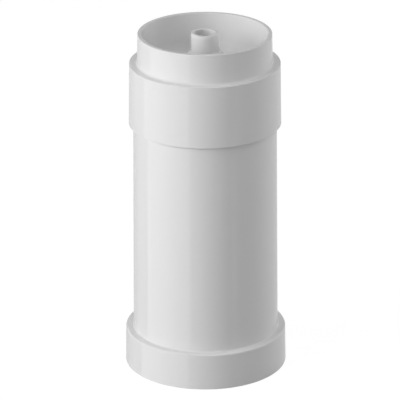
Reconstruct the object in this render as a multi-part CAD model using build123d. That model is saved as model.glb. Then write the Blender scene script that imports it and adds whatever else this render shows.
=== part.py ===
from build123d import *
import os
from math import radians, tan

# Inline water filter cartridge, standing on its foot, axis along Z, all sizes in millimetres and degrees.
# Water comes in through the inlet spigot under the foot, rises round the carbon element, goes through it
# from the outside in, and leaves by the outlet spigot in the cup at the top.

# Whole cartridge
overall_height = 158.85

# Sump: body and foot, moulded as one piece
body_diameter = 65.0  # outside, at the collar's lower edge
body_draft = 0.45  # the body widens downwards
body_wall = 2.4  # at the upper end, where it is thinnest
bore_draft = 0.12  # the bore widens upwards
floor_thickness = 3.4
floor_cove = 1.6  # bevel between the floor and the bore
foot_height = 16.8
foot_overhang = 3.5  # step from the body out to the foot's upper edge
foot_draft = 0.9
foot_wall = 2.3
foot_web = 2.4  # thickness of the foot's upper face
foot_edge_rounding = 0.8
foot_root_fillet = 0.6

# Head: cup, outlet spigot and collar, moulded as one piece
cup_rise = 14.0  # rim above the collar
cup_depth = 16.6  # rim to cup floor
cup_inset = 2.25  # rim's outside, in from the body's outside
cup_draft = 1.1
cup_wall = 1.8
cup_floor_thickness = 4.0
cup_root_fillet = 1.0
cup_cove = 0.8  # bevel between the cup's wall and floor
collar_height = 28.3
collar_wall = 1.9  # skirt, at its lower edge
collar_draft = 0.85
collar_roof = 4.5  # over the end of the body
skirt_clearance = 0.1  # round the body, inside and outside the weld
socket_wall = 2.4
socket_depth = 13.0

# Spigots, the same at both ends
spigot_diameter = 12.7
waterway_diameter = 9.2
spigot_length = 8.2  # straight part with its bevelled tip, above the shoulder
spigot_tip_radial = 0.35
spigot_tip_axial = 1.4
spigot_shoulder = 3.0  # bevelled step from the spigot out to its boss
waterway_lead_in = 0.15
outlet_stand = 0.35  # outlet spigot's end, above the cup's rim
inlet_setback = 1.0  # inlet spigot's end, above the standing plane

# Small bevels on moulded edges
edge_bevel = 0.3

# Filter element
flow_gap = 2.1  # between the end caps and the bore, at the floor
layer_clearance = 0.1  # between one wrapped layer and the next
cap_wall = 1.3
cap_disc = 2.2
cap_grip = 6.0  # overlap of an end cap's rim on the block
fleece_thickness = 1.0
bond_thickness = 1.0
block_bore = 15.0
core_wall = 1.2
core_slot_width = 3.0
core_slot_height = 16.0
core_slot_pitch = 24.0
core_slot_pairs = 2  # opposite pairs of slots in each row

# Neck of the upper end cap, which plugs into the head
neck_diameter = 17.6
neck_bore = 8.0
neck_clearance = 0.15
neck_end_clearance = 0.6
neck_lead_in = 0.8
seal_groove_depth = 1.8
seal_groove_width = 2.6
seal_clearance = 0.05

# Feet and fins of the lower end cap
foot_rib_count = 6
foot_rib_height = 4.0
foot_rib_thickness = 2.0
foot_rib_start = 9.0  # radius at which the ribs begin, clear of the inlet
fin_clearance = 0.3
fin_rise = 5.0  # above the lower cap's underside
core_boss_height = 3.5

# Levels, worked out from the standing plane
rim_level = overall_height - outlet_stand
collar_top = rim_level - cup_rise
collar_bottom = collar_top - collar_height
body_end = collar_top - collar_roof
cup_floor = rim_level - cup_depth
socket_roof = cup_floor - cup_floor_thickness
socket_mouth = socket_roof - socket_depth
recess_roof = foot_height - foot_web
sump_floor = recess_roof + floor_thickness
lower_cap_bottom = sump_floor + foot_rib_height
lower_cap_top = lower_cap_bottom + cap_disc
block_bottom = lower_cap_top + bond_thickness
upper_cap_top = socket_mouth
upper_cap_bottom = upper_cap_top - cap_disc
block_top = upper_cap_bottom - bond_thickness
neck_end = socket_roof - neck_end_clearance
seal_level = (upper_cap_top + neck_end) / 2


def body_radius(level):
    """Outside of the body, which widens downwards."""
    return body_diameter / 2 + (collar_bottom - level) * tan(radians(body_draft))


def bore_radius(level):
    """Inside of the body, which widens upwards."""
    return body_radius(body_end) - body_wall - (body_end - level) * tan(radians(bore_draft))


def foot_radius(level):
    """Outside of the foot, which widens downwards."""
    return body_radius(foot_height) + foot_overhang + (foot_height - level) * tan(radians(foot_draft))


def collar_radius(level):
    """Outside of the collar, which widens downwards."""
    lower_edge = body_radius(collar_bottom) + skirt_clearance + collar_wall
    return lower_edge - (level - collar_bottom) * tan(radians(collar_draft))


def cup_radius(level):
    """Outside of the cup, which widens downwards."""
    return body_diameter / 2 - cup_inset + (rim_level - level) * tan(radians(cup_draft))


def cup_inner_radius(level):
    """Inside of the cup, which narrows downwards."""
    return cup_radius(rim_level) - cup_wall - (rim_level - level) * tan(radians(cup_draft))


# Radii of the spigots and of the element's layers, from the outside in
spigot_radius = spigot_diameter / 2
boss_radius = spigot_radius + spigot_shoulder
waterway_radius = waterway_diameter / 2
neck_radius = neck_diameter / 2
socket_radius = neck_radius + neck_clearance
seal_groove_radius = neck_radius - seal_groove_depth
cap_radius = bore_radius(sump_floor) - flow_gap
cap_inner = cap_radius - cap_wall
fleece_outer = cap_inner - layer_clearance
fleece_inner = fleece_outer - fleece_thickness
block_radius = fleece_inner - layer_clearance
core_outer = block_bore / 2 - layer_clearance
core_inner = core_outer - core_wall


def turned(*corners):
    """Solid turned about Z from a closed half-section of (radius, level, rounding) corners."""
    points = [(radius, level) for radius, level, _ in corners]
    roundings = [rounding for _, _, rounding in corners]
    outline = FilletPolyline(*points, radius=roundings, close=True)
    return revolve(make_face(Plane.XZ * outline), Axis.Z)


def ring(inner, outer, bottom, top):
    """Plain turned ring."""
    return turned((inner, bottom, 0), (outer, bottom, 0), (outer, top, 0), (inner, top, 0))


def spigot_corners(tip, root, boss):
    """Half-section of a spigot from its waterway at the root, over its tip and down to the foot of its boss."""
    way = 1 if tip > root else -1
    shoulder = tip - way * spigot_length
    return [
        (waterway_radius, root, 0),
        (waterway_radius, tip - way * waterway_lead_in, 0),
        (waterway_radius + waterway_lead_in, tip, 0),
        (spigot_radius - spigot_tip_radial, tip, 0),
        (spigot_radius, tip - way * spigot_tip_axial, 0),
        (spigot_radius, shoulder, 0),
        (boss_radius, shoulder - way * spigot_shoulder, 0),
        (boss_radius, boss, 0),
    ]


def make_head():
    """Cup with its spigot, the collar's skirt and the socket for the element's neck."""
    plug_radius = bore_radius(body_end) - skirt_clearance
    return turned(
        (socket_radius + edge_bevel, socket_mouth, 0),
        (socket_radius, socket_mouth + edge_bevel, 0),
        (socket_radius, socket_roof, 0),
        *spigot_corners(overall_height, socket_roof, cup_floor),
        (cup_inner_radius(cup_floor) - cup_cove, cup_floor, 0),
        (cup_inner_radius(cup_floor + cup_cove), cup_floor + cup_cove, 0),
        (cup_inner_radius(rim_level), rim_level - edge_bevel, 0),
        (cup_inner_radius(rim_level) + edge_bevel, rim_level, 0),
        (cup_radius(rim_level) - edge_bevel, rim_level, 0),
        (cup_radius(rim_level), rim_level - edge_bevel, 0),
        (cup_radius(collar_top), collar_top, cup_root_fillet),
        (collar_radius(collar_top) - edge_bevel, collar_top, 0),
        (collar_radius(collar_top), collar_top - edge_bevel, 0),
        (collar_radius(collar_bottom), collar_bottom, 0),
        (body_radius(collar_bottom) + skirt_clearance, collar_bottom, 0),
        (body_radius(body_end) + skirt_clearance, body_end, 0),
        (plug_radius, body_end, 0),
        (plug_radius, socket_roof, 0),
        (socket_radius + socket_wall, socket_roof, 0),
        (socket_radius + socket_wall, socket_mouth, 0),
    )


def make_sump():
    """Body with its floor, its foot and the inlet spigot in the foot's recess."""
    foot_inner = foot_radius(0) - foot_wall
    recess_radius = foot_inner - recess_roof * tan(radians(foot_draft))
    return turned(
        *reversed(spigot_corners(inlet_setback, sump_floor, recess_roof)),
        (bore_radius(sump_floor) - floor_cove, sump_floor, 0),
        (bore_radius(sump_floor + floor_cove), sump_floor + floor_cove, 0),
        (bore_radius(body_end), body_end, 0),
        (body_radius(body_end), body_end, 0),
        (body_radius(foot_height), foot_height, foot_root_fillet),
        (foot_radius(foot_height), foot_height, foot_edge_rounding),
        (foot_radius(edge_bevel), edge_bevel, 0),
        (foot_radius(0) - edge_bevel, 0, 0),
        (foot_inner, 0, 0),
        (recess_radius, recess_roof, 0),
    )


def make_upper_end_cap():
    """Disc and rim over the block's upper end, with the grooved neck that plugs into the head."""
    return turned(
        (neck_bore / 2, upper_cap_bottom, 0),
        (cap_inner, upper_cap_bottom, 0),
        (cap_inner, block_top - cap_grip, 0),
        (cap_radius, block_top - cap_grip, 0),
        (cap_radius, upper_cap_top, 0),
        (neck_radius, upper_cap_top, 0),
        (neck_radius, seal_level - seal_groove_width / 2, 0),
        (seal_groove_radius, seal_level - seal_groove_width / 2, 0),
        (seal_groove_radius, seal_level + seal_groove_width / 2, 0),
        (neck_radius, seal_level + seal_groove_width / 2, 0),
        (neck_radius, neck_end - neck_lead_in, 0),
        (neck_radius - neck_lead_in, neck_end, 0),
        (neck_bore / 2, neck_end, 0),
    )


def make_neck_seal():
    """Seal ring as squeezed between the neck's groove and the socket: flat on both, bulging at its sides."""
    inner = seal_groove_radius + seal_clearance
    outer = socket_radius - seal_clearance
    bulge = (outer - inner) / 2
    flat = bulge / 2
    return turned(
        (inner, seal_level - flat, 0),
        (inner + bulge, seal_level - bulge, 0),
        (outer, seal_level - flat, 0),
        (outer, seal_level + flat, 0),
        (inner + bulge, seal_level + bulge, 0),
        (inner, seal_level + flat, 0),
    )


def make_lower_end_cap():
    """Closed disc and rim under the block, with a boss for the core tube, standing ribs and centring fins."""
    cap = turned(
        (0, lower_cap_bottom, 0),
        (cap_radius, lower_cap_bottom, 0),
        (cap_radius, block_bottom + cap_grip, 0),
        (cap_inner, block_bottom + cap_grip, 0),
        (cap_inner, lower_cap_top, 0),
        (core_inner - layer_clearance, lower_cap_top, 0),
        (core_inner - layer_clearance, lower_cap_top + core_boss_height, 0),
        (0, lower_cap_top + core_boss_height, 0),
    )
    fin_reach = bore_radius(sump_floor) - fin_clearance
    fin_root = cap_radius - cap_wall / 2
    disc_middle = lower_cap_bottom + cap_disc / 2
    rib_outline = Polyline(
        (foot_rib_start, sump_floor),
        (fin_reach - floor_cove, sump_floor),
        (fin_reach, sump_floor + floor_cove),
        (fin_reach, lower_cap_bottom + fin_rise),
        (fin_root, lower_cap_bottom + fin_rise),
        (fin_root, disc_middle),
        (foot_rib_start, disc_middle),
        close=True,
    )
    rib = extrude(make_face(Plane.XZ * rib_outline), amount=foot_rib_thickness / 2, both=True)
    for index in range(foot_rib_count):
        cap += Rot(0, 0, 360 / foot_rib_count * index) * rib
    return cap


def make_core_tube():
    """Slotted tube between the two end caps, with its rows of slots turned by half a step from row to row."""
    tube = ring(core_inner, core_outer, lower_cap_top, upper_cap_bottom)
    length = block_top - block_bottom
    rows = int((length - core_slot_height) // core_slot_pitch)
    first = (block_top + block_bottom) / 2 - core_slot_pitch * (rows - 1) / 2
    slot = Box(2 * core_outer + core_wall, core_slot_width, core_slot_height)
    step = 180 / core_slot_pairs
    for row in range(rows):
        for pair in range(core_slot_pairs):
            turn = step * (pair + row % 2 / 2)
            tube -= Pos(0, 0, first + core_slot_pitch * row) * Rot(0, 0, turn) * slot
    return tube


def make_parts():
    """Every piece of the cartridge by its name."""
    return {
        "head": make_head(),
        "sump": make_sump(),
        "upper_end_cap": make_upper_end_cap(),
        "lower_end_cap": make_lower_end_cap(),
        "neck_seal": make_neck_seal(),
        "carbon_block": ring(block_bore / 2, block_radius, block_bottom, block_top),
        "prefilter_fleece": ring(fleece_inner, fleece_outer, block_bottom, block_top),
        "core_tube": make_core_tube(),
        "upper_bond": ring(block_bore / 2, fleece_outer, block_top, upper_cap_bottom),
        "lower_bond": ring(block_bore / 2, fleece_outer, lower_cap_top, block_bottom),
    }


os.makedirs("parts", exist_ok=True)
for name, part in make_parts().items():
    export_step(part, f"parts/{name}.step")
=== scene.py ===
"""Looks of an inline water filter cartridge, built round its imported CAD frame.

The head and the sump are turned again as smooth meshes of the same form, with the rounded edges that their moulds
leave. The filter element inside keeps its CAD meshes and gets its own finishes. A plain studio stands round them.
"""

from __future__ import annotations

import logging
from dataclasses import dataclass
from enum import Enum
from math import cos, hypot, pi, radians, sin, tan
from typing import Any, Mapping, Sequence

import bmesh
import bpy
from mathutils import Matrix, Vector


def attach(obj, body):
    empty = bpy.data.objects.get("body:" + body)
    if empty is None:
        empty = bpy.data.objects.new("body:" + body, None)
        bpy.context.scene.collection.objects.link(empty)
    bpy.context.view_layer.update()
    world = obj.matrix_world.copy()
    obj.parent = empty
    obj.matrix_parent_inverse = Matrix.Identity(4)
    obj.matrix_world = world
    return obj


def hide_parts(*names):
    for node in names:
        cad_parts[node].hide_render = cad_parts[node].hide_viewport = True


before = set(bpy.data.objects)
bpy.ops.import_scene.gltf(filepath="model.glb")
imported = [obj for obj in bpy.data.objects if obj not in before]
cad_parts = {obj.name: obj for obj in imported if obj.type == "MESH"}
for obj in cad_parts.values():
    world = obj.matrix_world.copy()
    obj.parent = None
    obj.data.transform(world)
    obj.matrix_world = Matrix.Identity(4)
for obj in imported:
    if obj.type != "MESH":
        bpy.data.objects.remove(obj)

log = logging.getLogger("cartridge")

MM = 0.001
Colour = tuple[float, float, float]


class Signal:
    """An output socket that takes part in Python expressions."""

    def __init__(self, graph: Graph, socket: bpy.types.NodeSocket) -> None:
        """Keeps the socket and the graph that takes its Math nodes."""
        self.graph = graph
        self.socket = socket

    def __add__(self, other: Signal | float) -> Signal:
        """Sum of two values."""
        return self.graph.maths("ADD", self, other)

    def __radd__(self, other: float) -> Signal:
        """Sum, with the number in front."""
        return self.graph.maths("ADD", other, self)

    def __sub__(self, other: Signal | float) -> Signal:
        """Difference of two values."""
        return self.graph.maths("SUBTRACT", self, other)

    def __rsub__(self, other: float) -> Signal:
        """Difference, with the number in front."""
        return self.graph.maths("SUBTRACT", other, self)

    def __mul__(self, other: Signal | float) -> Signal:
        """Product of two values."""
        return self.graph.maths("MULTIPLY", self, other)

    def __rmul__(self, other: float) -> Signal:
        """Product, with the number in front."""
        return self.graph.maths("MULTIPLY", other, self)

    def __or__(self, other: Signal | float) -> Signal:
        """Larger of two values."""
        return self.graph.maths("MAXIMUM", self, other)


class Graph:
    """Node tree of one material or world, started empty."""

    def __init__(self, owner: bpy.types.Material | bpy.types.World) -> None:
        """Empties the owner's node tree.

        Args:
            owner: Material or world that gets the nodes.
        """
        owner.use_nodes = True
        self.tree = owner.node_tree
        self.tree.nodes.clear()

    def node(
        self,
        kind: str,
        settings: Mapping[str, Any],
        sockets: Mapping[str | int, Any],
        output: str | int = 0,
    ) -> Signal:
        """Adds one node.

        Args:
            kind: Blender's name for the node's type.
            settings: The node's own settings, set first.
            sockets: Values or signals for its inputs, by name or number.
            output: Output that the signal reads.

        Returns:
            The chosen output as a signal.
        """
        made = self.tree.nodes.new(kind)
        for name, value in settings.items():
            setattr(made, name, value)
        for name, value in sockets.items():
            if isinstance(value, Signal):
                self.tree.links.new(value.socket, made.inputs[name])
            else:
                made.inputs[name].default_value = value
        return Signal(self, made.outputs[output] if made.outputs else None)

    def maths(self, operation: str, first: Signal | float, second: Signal | float) -> Signal:
        """Adds a Math node.

        Args:
            operation: What it does with its two values.
            first: Left value.
            second: Right value.

        Returns:
            The result as a signal.
        """
        return self.node("ShaderNodeMath", {"operation": operation}, {0: first, 1: second})

    def tint(self, factor: Signal, dark: Colour, light: Colour) -> Signal:
        """Mixes two colours.

        Args:
            factor: 0 gives the dark colour and 1 the light one.
            dark: First colour.
            light: Second colour.

        Returns:
            The mixed colour.
        """
        # inputs 6 and 7 and output 2 are the node's colours
        return self.node(
            "ShaderNodeMix",
            {"data_type": "RGBA"},
            {0: factor, 6: (*dark, 1.0), 7: (*light, 1.0)},
            2,
        )

    def place(self) -> Signal:
        """Object coordinates, in metres."""
        return self.node("ShaderNodeTexCoord", {}, {}, "Object")

    def noise(self, place: Signal, size: float, detail: float) -> Signal:
        """Adds a noise of a stated grain.

        Args:
            place: Coordinates in metres.
            size: Grain in millimetres.
            detail: Octaves of finer grain.

        Returns:
            Noise between 0 and 1, with its mean near a half.
        """
        sockets = {"Vector": place, "Scale": 1.0 / (size * MM), "Detail": detail, "Roughness": 0.5}
        return self.node("ShaderNodeTexNoise", {}, sockets, 0)

    def fade(self, value: Signal, start: float, end: float) -> Signal:
        """Rises smoothly from 0 to 1.

        Args:
            value: Value that drives it.
            start: Where it leaves 0.
            end: Where it reaches 1.

        Returns:
            The rise.
        """
        settings = {"interpolation_type": "SMOOTHSTEP"}
        return self.node("ShaderNodeMapRange", settings, {"Value": value, "From Min": start, "From Max": end})

    def bump(self, height: Signal, depth: float) -> Signal:
        """Turns a height into a normal.

        Args:
            height: Height between 0 and 1.
            depth: Height's full range in millimetres.

        Returns:
            The bent normal.
        """
        return self.node("ShaderNodeBump", {}, {"Strength": 1.0, "Distance": depth * MM, "Height": height})

    def finish(self, shader: Signal, kind: str = "ShaderNodeOutputMaterial") -> None:
        """Sends a shader to the tree's output of the given kind."""
        self.node(kind, {}, {"Surface": shader})


class Sheen(Enum):
    """Skin that a mould leaves on plastic, as its roughness."""

    POLISHED = 0.07
    MATT = 0.62


@dataclass(frozen=True)
class MouldedPlastic:
    """Moulded polypropylene: an even pale colour, faint flow marks and the fine grain of the mould's skin."""

    name: str
    colour: Colour
    sheen: Sheen
    flow_size: float = 22.0
    grain_size: float = 0.55
    grain_depth: float = 0.0012
    flow_shade: float = 0.975
    flow_share: float = 0.7
    flow_sheen: float = 0.06
    grain_sheen: float = 0.04
    refraction: float = 1.49

    def material(self) -> bpy.types.Material:
        """Builds the finish.

        Returns:
            Its material.
        """
        material = bpy.data.materials.new(self.name)
        graph = Graph(material)
        place = graph.place()
        flow = graph.noise(place, self.flow_size, 3.0)
        grain = graph.noise(place, self.grain_size, 2.0)
        shade = tuple(channel * self.flow_shade for channel in self.colour)
        marks = flow * self.flow_share + grain * (1.0 - self.flow_share)
        dulling = (flow - 0.5) * self.flow_sheen + (grain - 0.5) * self.grain_sheen
        principled = graph.node(
            "ShaderNodeBsdfPrincipled",
            {},
            {
                "Base Color": graph.tint(marks, shade, self.colour),
                "Roughness": self.sheen.value + dulling,
                "IOR": self.refraction,
                "Normal": graph.bump(grain, self.grain_depth),
            },
        )
        graph.finish(principled)
        return material


@dataclass(frozen=True)
class PressedCarbon:
    """Carbon powder pressed with binder: nearly black, grainy and dull."""

    name: str = "pressed_carbon"
    dark: Colour = (0.012, 0.012, 0.013)
    light: Colour = (0.045, 0.045, 0.048)
    grain_size: float = 0.5
    grain_depth: float = 0.09
    grain_share: float = 0.6
    cloud_size: float = 6.0
    roughness: float = 0.82
    roughness_spread: float = 0.2

    def material(self) -> bpy.types.Material:
        """Builds the finish.

        Returns:
            Its material.
        """
        material = bpy.data.materials.new(self.name)
        graph = Graph(material)
        place = graph.place()
        cell = {"Vector": place, "Scale": 1.0 / (self.grain_size * MM), "Randomness": 1.0}
        grain = graph.node("ShaderNodeTexVoronoi", {"feature": "F1"}, cell, "Distance")
        cloud = graph.noise(place, self.cloud_size, 4.0)
        mottle = grain * self.grain_share + cloud * (1.0 - self.grain_share)
        principled = graph.node(
            "ShaderNodeBsdfPrincipled",
            {},
            {
                "Base Color": graph.tint(mottle, self.dark, self.light),
                "Roughness": self.roughness + (cloud - 0.5) * self.roughness_spread,
                "Normal": graph.bump(grain, self.grain_depth),
            },
        )
        graph.finish(principled)
        return material


@dataclass(frozen=True)
class SpunFleece:
    """Spunbonded fleece: pale fibres that lie across each other."""

    name: str = "spun_fleece"
    dark: Colour = (0.70, 0.70, 0.67)
    light: Colour = (0.88, 0.88, 0.86)
    fibre_size: float = 0.35
    fibre_stretch: float = 9.0
    fibre_depth: float = 0.08
    fibre_turns: tuple[float, ...] = (20.0, 75.0, 130.0)
    roughness: float = 0.95
    fibre_gloss: float = 0.15

    def material(self) -> bpy.types.Material:
        """Builds the finish.

        Returns:
            Its material.
        """
        material = bpy.data.materials.new(self.name)
        graph = Graph(material)
        place = graph.place()
        layers = []
        for turn in self.fibre_turns:
            settings = {"vector_type": "TEXTURE"}
            sockets = {
                "Vector": place,
                "Rotation": (radians(turn), radians(turn / 2), 0.0),
                "Scale": (1.0, 1.0, self.fibre_stretch),
            }
            layers.append(graph.noise(graph.node("ShaderNodeMapping", settings, sockets), self.fibre_size, 1.0))
        fibres = layers[0] | layers[1] | layers[2]
        principled = graph.node(
            "ShaderNodeBsdfPrincipled",
            {},
            {
                "Base Color": graph.tint(fibres, self.dark, self.light),
                "Roughness": self.roughness - fibres * self.fibre_gloss,
                "Normal": graph.bump(fibres, self.fibre_depth),
            },
        )
        graph.finish(principled)
        return material


@dataclass(frozen=True)
class SetGlue:
    """Set hot glue: amber, smooth and slightly uneven."""

    name: str = "set_glue"
    dark: Colour = (0.66, 0.58, 0.40)
    light: Colour = (0.80, 0.74, 0.58)
    cloud_size: float = 5.0
    wave_depth: float = 0.15
    roughness: float = 0.25
    roughness_spread: float = 0.2

    def material(self) -> bpy.types.Material:
        """Builds the finish.

        Returns:
            Its material.
        """
        material = bpy.data.materials.new(self.name)
        graph = Graph(material)
        cloud = graph.noise(graph.place(), self.cloud_size, 3.0)
        principled = graph.node(
            "ShaderNodeBsdfPrincipled",
            {},
            {
                "Base Color": graph.tint(cloud, self.dark, self.light),
                "Roughness": self.roughness + cloud * self.roughness_spread,
                "Normal": graph.bump(cloud, self.wave_depth),
            },
        )
        graph.finish(principled)
        return material


@dataclass(frozen=True)
class SealRubber:
    """Moulded seal rubber: black, with a dull bloom."""

    name: str = "seal_rubber"
    dark: Colour = (0.018, 0.018, 0.018)
    bloom: Colour = (0.055, 0.055, 0.057)
    bloom_size: float = 3.0
    grain_size: float = 0.2
    grain_depth: float = 0.01
    roughness: float = 0.45
    roughness_spread: float = 0.25

    def material(self) -> bpy.types.Material:
        """Builds the finish.

        Returns:
            Its material.
        """
        material = bpy.data.materials.new(self.name)
        graph = Graph(material)
        place = graph.place()
        bloom = graph.noise(place, self.bloom_size, 4.0)
        grain = graph.noise(place, self.grain_size, 1.0)
        principled = graph.node(
            "ShaderNodeBsdfPrincipled",
            {},
            {
                "Base Color": graph.tint(bloom, self.dark, self.bloom),
                "Roughness": self.roughness + bloom * self.roughness_spread,
                "Normal": graph.bump(grain, self.grain_depth),
            },
        )
        graph.finish(principled)
        return material


@dataclass(frozen=True)
class Corner:
    """Corner of a half-section: its radius and level in millimetres, and the rounding of its edge."""

    radius: float
    level: float
    rounding: float = 0.0
    steps: int = 4


@dataclass(frozen=True)
class Turned:
    """Piece of a closed half-section, drawn out ring by ring round the axis."""

    name: str
    corners: Sequence[Corner]
    segments: int = 256
    sharp_angle: float = 35.0

    def build(self) -> bpy.types.Object:
        """Models the piece.

        Returns:
            The piece, at the origin with its place in its mesh.
        """
        self.draw_rings()
        piece = bpy.context.object
        piece.name = self.name
        piece.data.name = self.name
        for index in range(len(self.corners)):
            self.round_edge(piece, index)
        bpy.ops.mesh.select_all(action="SELECT")
        bpy.ops.mesh.normals_make_consistent(inside=False)
        bpy.ops.object.mode_set(mode="OBJECT")
        bpy.ops.object.shade_smooth_by_angle(angle=radians(self.sharp_angle))
        bpy.ops.object.modifier_add(type="WEIGHTED_NORMAL")
        piece.modifiers[-1].keep_sharp = True
        bpy.ops.object.modifier_apply(modifier=piece.modifiers[-1].name)
        return piece

    def draw_rings(self) -> None:
        """Draws a circle at the first corner, extrudes it from corner to corner and closes the section."""
        first = self.corners[0]
        bpy.ops.object.select_all(action="DESELECT")
        bpy.ops.mesh.primitive_circle_add(
            vertices=self.segments,
            radius=first.radius * MM,
            fill_type="NOTHING",
            location=(0.0, 0.0, first.level * MM),
        )
        bpy.ops.object.transform_apply(location=True, rotation=True, scale=True)
        bpy.ops.object.mode_set(mode="EDIT")
        bpy.ops.mesh.select_mode(type="EDGE")
        bpy.ops.mesh.select_all(action="SELECT")
        for last, corner in zip(self.corners, self.corners[1:]):
            rise = (corner.level - last.level) * MM
            growth = corner.radius / last.radius
            bpy.ops.mesh.extrude_edges_move(TRANSFORM_OT_translate={"value": (0.0, 0.0, rise)})
            bpy.ops.transform.resize(
                value=(growth, growth, 1.0),
                center_override=(0.0, 0.0, corner.level * MM),
            )
        bpy.ops.mesh.select_all(action="DESELECT")
        bpy.ops.mesh.select_non_manifold(
            use_wire=False, use_multi_face=False, use_non_contiguous=False, use_verts=False
        )
        bpy.ops.mesh.bridge_edge_loops()

    def round_edge(self, piece: bpy.types.Object, index: int) -> None:
        """Rounds the edge at one corner, if it has a rounding.

        Args:
            piece: The piece, in edit mode.
            index: The corner's number.
        """
        corner = self.corners[index]
        if corner.rounding == 0.0:
            return
        mesh = bmesh.from_edit_mesh(piece.data)
        bpy.ops.mesh.select_all(action="DESELECT")
        for edge in mesh.edges:
            edge.select_set(all(self.lies_at(vertex.co, corner) for vertex in edge.verts))
        bmesh.update_edit_mesh(piece.data)
        bpy.ops.mesh.bevel(
            offset_type="OFFSET",
            offset=self.setback(index) * MM,
            segments=corner.steps,
            profile=0.5,
            affect="EDGES",
            clamp_overlap=False,
        )

    def setback(self, index: int) -> float:
        """Distance from a corner to where its rounding starts.

        Args:
            index: The corner's number.

        Returns:
            The distance in millimetres.
        """
        corner = self.corners[index]
        here = Vector((corner.radius, corner.level))
        before = self.corners[index - 1]
        after = self.corners[(index + 1) % len(self.corners)]
        back = Vector((before.radius, before.level)) - here
        on = Vector((after.radius, after.level)) - here
        return corner.rounding / tan(back.angle(on) / 2)

    @staticmethod
    def lies_at(point: Vector, corner: Corner) -> bool:
        """Tells whether a mesh point is on a corner's ring."""
        near = 0.002 * MM
        off_level = abs(point.z - corner.level * MM)
        return off_level < near and abs(hypot(point.x, point.y) - corner.radius * MM) < near


@dataclass(frozen=True)
class Spigot:
    """Bevelled stem with its waterway, the same at both ends of the cartridge."""

    radius: float = 6.35
    waterway: float = 4.6
    length: float = 8.2
    tip_radial: float = 0.35
    tip_axial: float = 1.4
    shoulder: float = 3.0
    lead_in: float = 0.15
    inner_edge: float = 0.08
    outer_edge: float = 0.25
    bevel_edge: float = 0.8
    root: float = 0.3

    def corners(self, tip: float, inside: float, floor: float) -> list[Corner]:
        """Draws the spigot's half-section.

        Args:
            tip: Level of its end.
            inside: Level at which its waterway starts.
            floor: Level of the face that it stands on.

        Returns:
            Corners from the waterway's start over the tip to the foot of the boss.
        """
        way = 1.0 if tip > inside else -1.0
        neck = tip - way * self.length
        boss = self.radius + self.shoulder
        return [
            Corner(self.waterway, inside),
            Corner(self.waterway, tip - way * self.lead_in, self.inner_edge, 2),
            Corner(self.waterway + self.lead_in, tip, self.inner_edge, 2),
            Corner(self.radius - self.tip_radial, tip, self.outer_edge, 4),
            Corner(self.radius, tip - way * self.tip_axial, self.bevel_edge, 3),
            Corner(self.radius, neck, self.root, 4),
            Corner(boss, neck - way * self.shoulder, self.root, 4),
            Corner(boss, floor, self.root, 4),
        ]


@dataclass(frozen=True)
class Body:
    """Outside and bore of the long body, which the head's skirt goes over."""

    end_level: float = 140.0
    outer_end: float = 32.313
    outer_foot: float = 33.281
    bore_end: float = 29.913
    bore_floor: float = 29.657


@dataclass(frozen=True)
class Head:
    """Moulded head: the open cup with its spigot, and the collar over the body's end."""

    spigot: Spigot
    body: Body
    plastic: MouldedPlastic
    outlet_tip: float = 158.85
    rim_level: float = 158.5
    rim_outer: float = 30.25
    rim_inner: float = 28.45
    cup_floor: float = 141.9
    cup_floor_radius: float = 28.131
    cup_cove: float = 4.0
    cup_root_radius: float = 30.519
    cup_root_fillet: float = 1.0
    collar_top: float = 144.7
    collar_top_radius: float = 34.080
    collar_bottom: float = 116.2
    collar_bottom_radius: float = 34.5
    skirt_inner: float = 32.6
    clearance: float = 0.1
    socket_roof: float = 137.9
    socket_mouth: float = 124.9
    socket_radius: float = 8.95
    socket_wall: float = 2.4
    edge: float = 0.3
    collar_edge: float = 0.2
    skirt_edge: float = 0.12
    skirt_inner_edge: float = 0.15
    socket_edge: float = 0.2

    def corners(self) -> list[Corner]:
        """Draws the head's half-section.

        Returns:
            Its corners, from the socket's outside over the spigot, the cup and the collar to the weld.
        """
        socket_outer = self.socket_radius + self.socket_wall
        plug = self.body.bore_end - self.clearance
        return [
            Corner(socket_outer, self.socket_roof),
            Corner(socket_outer, self.socket_mouth, self.socket_edge, 2),
            Corner(self.socket_radius, self.socket_mouth, self.edge, 2),
            Corner(self.socket_radius, self.socket_roof),
            *self.spigot.corners(self.outlet_tip, self.socket_roof, self.cup_floor),
            Corner(self.cup_floor_radius, self.cup_floor, self.cup_cove, 10),
            Corner(self.rim_inner, self.rim_level, self.edge, 4),
            Corner(self.rim_outer, self.rim_level, self.edge, 4),
            Corner(self.cup_root_radius, self.collar_top, self.cup_root_fillet, 8),
            Corner(self.collar_top_radius, self.collar_top, self.collar_edge, 4),
            Corner(self.collar_bottom_radius, self.collar_bottom, self.skirt_edge, 4),
            Corner(self.skirt_inner, self.collar_bottom, self.skirt_inner_edge, 3),
            Corner(self.body.outer_end + self.clearance, self.body.end_level),
            Corner(plug, self.body.end_level),
            Corner(plug, self.socket_roof),
        ]

    def build(self) -> bpy.types.Object:
        """Models the head and dresses it.

        Returns:
            The finished piece.
        """
        piece = Turned("moulded_head", self.corners()).build()
        piece.data.materials.append(self.plastic.material())
        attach(piece, "root")
        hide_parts("head")
        return piece


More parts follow.
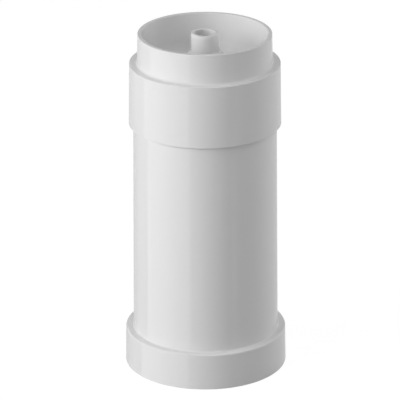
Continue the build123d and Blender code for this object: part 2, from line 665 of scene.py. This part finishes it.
@dataclass(frozen=True)
class Sump:
    """Moulded sump: the long body, its floor, the wider foot and the inlet spigot in the foot's recess."""

    spigot: Spigot
    body: Body
    plastic: MouldedPlastic
    floor_level: float = 17.8
    floor_cove: float = 1.6
    foot_height: float = 17.0
    foot_top_radius: float = 36.781
    foot_bottom_radius: float = 37.045
    foot_inner_radius: float = 34.745
    foot_edge: float = 0.8
    foot_root: float = 0.6
    recess_roof: float = 14.4
    recess_roof_radius: float = 34.519
    recess_cove: float = 0.5
    foot_inner_edge: float = 0.2
    inlet_tip: float = 1.0
    edge: float = 0.3

    def corners(self) -> list[Corner]:
        """Draws the sump's half-section.

        Returns:
            Its corners, from the bore's upper end down to the floor, out through the inlet and round the foot.
        """
        inlet = self.spigot.corners(self.inlet_tip, self.floor_level, self.recess_roof)
        return [
            Corner(self.body.bore_end, self.body.end_level),
            Corner(self.body.bore_floor, self.floor_level, self.floor_cove, 4),
            *inlet,
            Corner(self.recess_roof_radius, self.recess_roof, self.recess_cove, 4),
            Corner(self.foot_inner_radius, 0.0, self.foot_inner_edge, 3),
            Corner(self.foot_bottom_radius, 0.0, self.edge, 4),
            Corner(self.foot_top_radius, self.foot_height, self.foot_edge, 8),
            Corner(self.body.outer_foot, self.foot_height, self.foot_root, 6),
            Corner(self.body.outer_end, self.body.end_level),
        ]

    def build(self) -> bpy.types.Object:
        """Models the sump and dresses it.

        Returns:
            The finished piece.
        """
        piece = Turned("moulded_sump", self.corners()).build()
        piece.data.materials.append(self.plastic.material())
        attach(piece, "root")
        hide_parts("sump")
        return piece


@dataclass(frozen=True)
class FilterElement:
    """Carbon element inside the sump, whose CAD meshes stay and get their finishes."""

    caps: MouldedPlastic
    carbon: PressedCarbon
    fleece: SpunFleece
    glue: SetGlue
    rubber: SealRubber

    def dress(self) -> list[str]:
        """Gives each CAD node of the element its finish.

        Returns:
            The names of the dressed nodes.
        """
        finishes = {
            self.caps: ("upper_end_cap", "lower_end_cap", "core_tube"),
            self.carbon: ("carbon_block",),
            self.fleece: ("prefilter_fleece",),
            self.glue: ("upper_bond", "lower_bond"),
            self.rubber: ("neck_seal",),
        }
        dressed = []
        for finish, names in finishes.items():
            material = finish.material()
            for name in names:
                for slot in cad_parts[name].material_slots:
                    slot.material = material
                dressed.append(name)
        return dressed


@dataclass(frozen=True)
class Softbox:
    """Soft lamp that faces the cartridge, placed by its bearing from the camera's side."""

    name: str
    bearing: float
    height_angle: float
    width: float
    height: float
    power: float
    distance: float = 1.5

    def build(self, target: Vector) -> bpy.types.Object:
        """Hangs the lamp.

        Args:
            target: Point that it faces, in metres.

        Returns:
            The lamp's object.
        """
        turn = radians(self.bearing)
        lift = radians(self.height_angle)
        away = Vector((sin(turn) * cos(lift), -cos(turn) * cos(lift), sin(lift)))
        light = bpy.data.lights.new(self.name, "AREA")
        light.shape = "RECTANGLE"
        light.size = self.width
        light.size_y = self.height
        light.energy = self.power
        lamp = bpy.data.objects.new(self.name, light)
        lamp.location = target + away * self.distance
        lamp.rotation_euler = away.to_track_quat("Z", "Y").to_euler()
        lamp.visible_camera = False
        lamp.visible_glossy = False
        bpy.context.collection.objects.link(lamp)
        return lamp


@dataclass(frozen=True)
class Panel:
    """Upright panel of the tent round the cartridge, as reflections show it: two bearings and the levels there."""

    start: float
    end: float
    start_level: float
    end_level: float

    def shine(self, graph: Graph, bearing: Signal, blur: float) -> Signal:
        """Lights the panel's own range of bearings.

        Args:
            graph: Node tree of the surroundings.
            bearing: Bearing of the ray in degrees.
            blur: Width of the panel's soft edges in degrees.

        Returns:
            The panel's level inside its range and 0 outside.
        """
        slope = (self.end_level - self.start_level) / (self.end - self.start)
        rise = graph.fade(bearing, self.start - blur / 2, self.start + blur / 2)
        fall = graph.fade(bearing, self.end - blur / 2, self.end + blur / 2)
        return (rise - fall) * ((bearing - self.start) * slope + self.start_level)


@dataclass(frozen=True)
class Studio:
    """Pale floor, a white tent and soft lamps."""

    lamps: tuple[Softbox, ...]
    panels: tuple[Panel, ...]
    panel_blur: float = 0.8
    upper_level: float = 0.36
    horizon_blur: float = 0.05
    ambient: float = 0.07
    floor_size: float = 12.0
    floor_grey: float = 0.5
    floor_shade: float = 0.98
    floor_cloud: float = 400.0
    floor_white: float = 1.24
    shadow_share: float = 0.25
    target: tuple[float, float, float] = (0.0, 0.0, 0.08)

    def build(self) -> None:
        """Sets up the floor, the tent and the lamps."""
        self.lay_floor()
        self.surround()
        for lamp in self.lamps:
            lamp.build(Vector(self.target))

    def lay_floor(self) -> bpy.types.Object:
        """Lays the floor that the cartridge stands on.

        Returns:
            The floor.
        """
        bpy.ops.object.select_all(action="DESELECT")
        bpy.ops.mesh.primitive_plane_add(size=self.floor_size, location=(0.0, 0.0, 0.0))
        floor = bpy.context.object
        floor.name = "studio_floor"
        floor.data.materials.append(self.floor_material())
        floor.visible_glossy = False
        return floor

    def floor_material(self) -> bpy.types.Material:
        """Builds the floor's finish: white to the eye, with the cartridge's soft shadow, and open from below.

        Returns:
            Its material.
        """
        material = bpy.data.materials.new("studio_floor")
        graph = Graph(material)
        cloud = graph.noise(graph.place(), self.floor_cloud, 2.0)
        low = self.floor_grey * self.floor_shade
        matt = graph.node(
            "ShaderNodeBsdfDiffuse",
            {},
            {"Color": graph.tint(cloud, (low, low, low), (self.floor_grey,) * 3)},
        )
        white = graph.node(
            "ShaderNodeEmission", {}, {"Color": (1.0, 1.0, 1.0, 1.0), "Strength": self.floor_white}
        )
        share = self.seen(graph) * (1.0 - self.shadow_share)
        lit = graph.node("ShaderNodeMixShader", {}, {0: share, 1: matt, 2: white})
        clear = graph.node("ShaderNodeBsdfTransparent", {}, {})
        below = graph.node("ShaderNodeNewGeometry", {}, {}, "Backfacing")
        graph.finish(graph.node("ShaderNodeMixShader", {}, {0: below, 1: lit, 2: clear}))
        return material

    def surround(self) -> None:
        """Puts up the tent: white to the eye, an even soft light, and its panels in reflections."""
        world = bpy.data.worlds.new("studio_tent")
        world.cycles.sampling_method = "NONE"
        bpy.context.scene.world = world
        graph = Graph(world)
        seen = self.seen(graph)
        glossy = graph.node("ShaderNodeLightPath", {}, {}, "Is Glossy Ray")
        unseen = (1.0 - seen) * (1.0 - glossy)
        strength = seen + glossy * self.reflected(graph) + unseen * self.ambient
        sky = graph.node("ShaderNodeBackground", {}, {"Color": (1.0, 1.0, 1.0, 1.0), "Strength": strength})
        graph.finish(sky, "ShaderNodeOutputWorld")

    def reflected(self, graph: Graph) -> Signal:
        """Lays the panels round the cartridge by their bearings.

        Args:
            graph: Node tree of the surroundings.

        Returns:
            How bright the tent is in the ray's direction.
        """
        way = graph.node("ShaderNodeTexCoord", {}, {}, "Generated")
        across = graph.node("ShaderNodeSeparateXYZ", {}, {0: way}, "X")
        along = graph.node("ShaderNodeSeparateXYZ", {}, {0: way}, "Y")
        up = graph.node("ShaderNodeSeparateXYZ", {}, {0: way}, "Z")
        bearing = graph.maths("ARCTAN2", across, along * -1.0) * (180.0 / pi)
        level = self.panels[0].shine(graph, bearing, self.panel_blur)
        for panel in self.panels[1:]:
            level = level + panel.shine(graph, bearing, self.panel_blur)
        raised = graph.fade(up, -self.horizon_blur, self.horizon_blur)
        return level + raised * (self.upper_level - level)

    @staticmethod
    def seen(graph: Graph) -> Signal:
        """Gives 1 to rays that the eye follows, straight or through glass, and 0 to the others.

        Args:
            graph: Node tree that asks.

        Returns:
            The answer as a signal.
        """
        straight = graph.node("ShaderNodeLightPath", {}, {}, "Is Camera Ray")
        through = graph.node("ShaderNodeLightPath", {}, {}, "Is Transmission Ray")
        return straight | through


@dataclass(frozen=True)
class PhotoCamera:
    """Camera at the photograph's place."""

    distance: float = 1.6
    elevation: float = 21.64
    lens: float = 315.6
    roll: float = 0.22
    aim_x: float = -0.002434
    aim_z: float = 0.07809
    sensor: float = 36.0
    nearest: float = 0.05
    farthest: float = 50.0

    def build(self) -> bpy.types.Object:
        """Sets up the camera.

        Returns:
            The camera's object.
        """
        lift = radians(self.elevation)
        data = bpy.data.cameras.new("photo_camera")
        data.lens = self.lens
        data.sensor_width = self.sensor
        data.clip_start = self.nearest
        data.clip_end = self.farthest
        camera = bpy.data.objects.new("photo_camera", data)
        camera.location = (self.aim_x, -self.distance * cos(lift), self.aim_z + self.distance * sin(lift))
        tilt = Matrix.Rotation(radians(90.0) - lift, 4, "X")
        turn = Matrix.Rotation(radians(-self.roll), 4, "Z")
        camera.rotation_euler = (tilt @ turn).to_euler()
        bpy.context.collection.objects.link(camera)
        bpy.context.scene.camera = camera
        return camera


def main() -> None:
    """Builds the pieces, their finishes and the studio, in order."""
    logging.basicConfig(level=logging.INFO, format="%(name)s: %(message)s")
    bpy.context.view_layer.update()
    bpy.context.scene.view_settings.view_transform = "Standard"
    white = MouldedPlastic("housing_white", (0.83, 0.83, 0.83), Sheen.POLISHED)
    spigot = Spigot()
    body = Body()
    for part in (Head(spigot, body, white), Sump(spigot, body, white)):
        piece = part.build()
        log.info("%s: %d faces", piece.name, len(piece.data.polygons))
    caps = MouldedPlastic("cap_white", (0.80, 0.81, 0.82), Sheen.MATT)
    element = FilterElement(caps, PressedCarbon(), SpunFleece(), SetGlue(), SealRubber())
    for name in element.dress():
        log.info("%s: finished", name)
    lamps = (
        Softbox("key", -65.0, 16.0, 1.25, 0.7, 8.37, 1.1),
        Softbox("upper_key", -65.0, 30.0, 1.4, 0.5, 5.1),
        Softbox("front", 10.0, 30.0, 1.0, 0.8, 2.6),
        Softbox("side", 115.0, 11.5, 0.5, 0.35, 2.17, 0.75),
        Softbox("upper_side", 78.0, 50.0, 0.42, 0.42, 0.544, 0.7),
        Softbox("top", 0.0, 89.0, 1.4, 1.4, 3.7),
        Softbox("back", 180.0, 3.0, 0.8, 0.4, 6.0),
    )
    # a narrow border on both sides of each step keeps it crisp in the gloss
    panels = (
        Panel(-182.0, -113.0, 0.75, 0.3),
        Panel(-113.0, -106.0, 0.1, 0.1),
        Panel(-106.0, -99.0, 1.0, 1.0),
        Panel(-99.0, -31.0, 0.83, 1.37),
        Panel(-31.0, -25.0, 1.7, 1.7),
        Panel(-25.0, -19.0, 0.64, 0.64),
        Panel(-19.0, 38.0, 0.9, 0.04),
        Panel(38.0, 43.0, 0.0, 0.0),
        Panel(43.0, 49.0, 0.5, 0.5),
        Panel(49.0, 182.0, 0.27, 0.75),
    )
    Studio(lamps, panels).build()
    PhotoCamera().build()
    log.info("studio and camera: ready")


if __name__ == "__main__":
    main()
